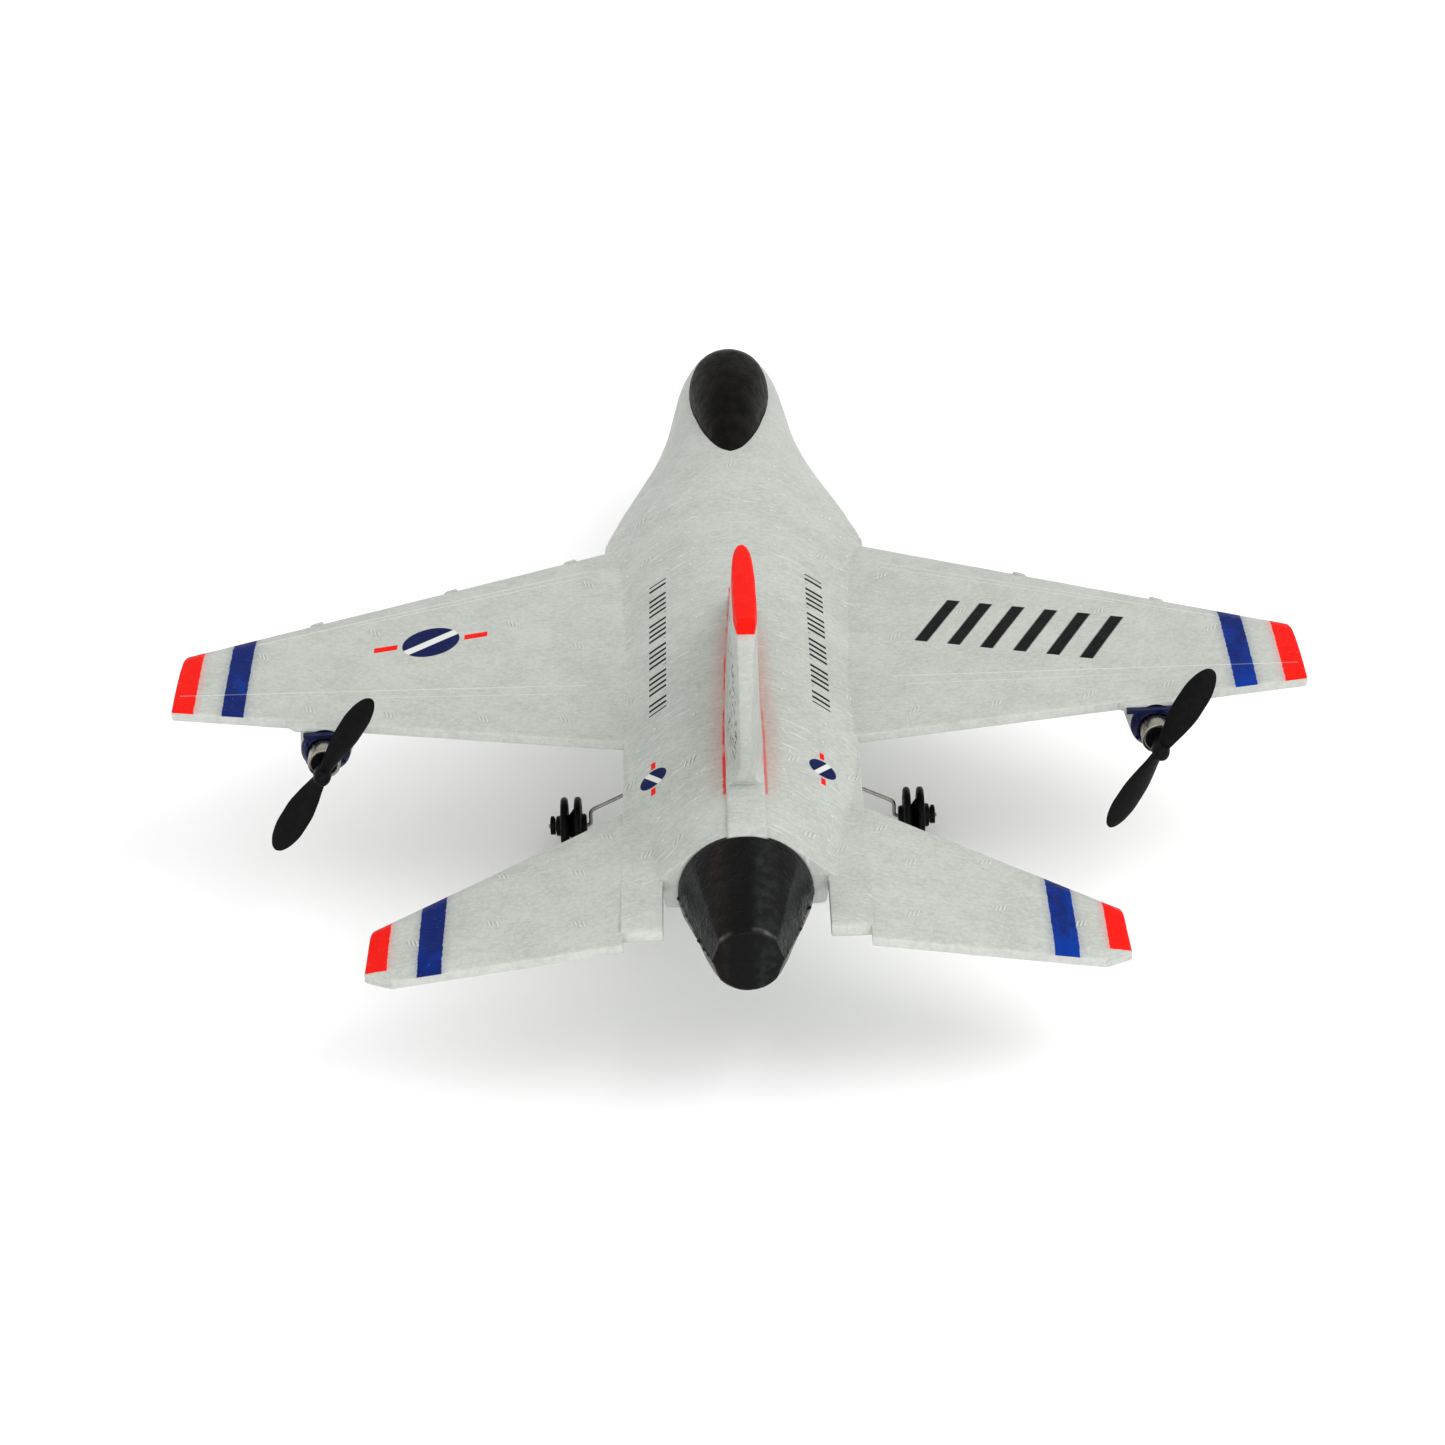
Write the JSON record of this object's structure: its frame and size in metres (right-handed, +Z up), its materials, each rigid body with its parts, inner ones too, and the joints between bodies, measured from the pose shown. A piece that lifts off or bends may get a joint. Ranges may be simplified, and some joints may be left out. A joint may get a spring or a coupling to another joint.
{
  "type": "rc foam airplane",
  "caption": "Small moulded-foam radio-controlled jet with swept wings, single fin, two pusher propellers, wire landing gear and a belly battery hatch.",
  "frame": {"origin": "on the ground under the middle of the aircraft, which stands on its three wheels", "axes": "+Y towards the nose, +X towards the right wing tip, +Z up"},
  "size_m": [0.29, 0.34, 0.1185],
  "materials": {
    "foam": "moulded bead foam, fine cells, matt",
    "nozzle_black": "black lacquer brushed over bead foam, wrinkled",
    "canopy_black": "satin black lacquer",
    "carbon": "carbon fibre strip, satin",
    "blue_plastic": "moulded, semi-gloss",
    "motor_steel": "bright plated can",
    "spring_steel": "drawn wire, slightly dull",
    "prop_black": "moulded, satin",
    "wheel_black": "moulded, satin",
    "white_plastic": "moulded, satin",
    "cell_wrap": "heat-shrunk film over a pouch cell",
    "board_green": "lacquered circuit board",
    "lead_red": "insulated wire"
  },
  "bodies": {
    "airframe": {"upper_fuselage": "foam", "lower_fuselage": "foam", "exhaust_nozzle_upper": "nozzle_black", "exhaust_nozzle_lower": "nozzle_black", "canopy": "canopy_black", "tail_fin": "foam", "wing_spar": "carbon", "main_gear_wire": "spring_steel", "main_gear_clip": "white_plastic", "nose_gear_wire": "spring_steel", "nose_gear_socket": "white_plastic", "nose_wheel_collar": "wheel_black", "battery_tray": "white_plastic", "battery_door_pin": "spring_steel", "lipo_battery": "cell_wrap", "battery_plug": "white_plastic", "battery_lead": "lead_red", "flight_control_board": "board_green", "left_wing": "foam", "left_tailplane": "foam", "left_motor_mount": "blue_plastic", "left_motor_can": "motor_steel", "left_motor_end_cap": "white_plastic", "left_motor_lead": "lead_red", "left_wheel_collar": "wheel_black", "left_clip_screw": "spring_steel", "right_wing": "foam", "right_tailplane": "foam", "right_motor_mount": "blue_plastic", "right_motor_can": "motor_steel", "right_motor_end_cap": "white_plastic", "right_motor_lead": "lead_red", "right_wheel_collar": "wheel_black", "right_clip_screw": "spring_steel"},
    "left_rotor": {"left_motor_shaft": "spring_steel", "left_propeller": "prop_black"},
    "right_rotor": {"right_motor_shaft": "spring_steel", "right_propeller": "prop_black"},
    "left_main_wheel": {"left_wheel": "wheel_black"},
    "right_main_wheel": {"right_wheel": "wheel_black"},
    "nose_roller": {"nose_wheel": "wheel_black"},
    "hatch": {"battery_door": "white_plastic"}
  },
  "joints": [
    {"name": "left_propeller_spin", "type": "hinge", "parent": "airframe", "child": "left_rotor", "pos_m": [-0.106, -0.0895, 0.0478], "axis": [0, 1, 0], "continuous": true},
    {"name": "right_propeller_spin", "type": "hinge", "parent": "airframe", "child": "right_rotor", "pos_m": [0.106, -0.0895, 0.0478], "axis": [0, 1, 0], "continuous": true},
    {"name": "left_wheel_spin", "type": "hinge", "parent": "airframe", "child": "left_main_wheel", "pos_m": [-0.0455, -0.0545, 0.0077], "axis": [1, 0, 0], "continuous": true},
    {"name": "right_wheel_spin", "type": "hinge", "parent": "airframe", "child": "right_main_wheel", "pos_m": [0.0455, -0.0545, 0.0077], "axis": [1, 0, 0], "continuous": true},
    {"name": "nose_wheel_spin", "type": "hinge", "parent": "airframe", "child": "nose_roller", "pos_m": [0, 0.112, 0.0077], "axis": [1, 0, 0], "continuous": true},
    {"name": "battery_door_hinge", "type": "hinge", "parent": "airframe", "child": "hatch", "pos_m": [0, 0.0466, 0.0249], "axis": [1, 0, 0], "range_deg": [0, 95]}
  ]
}
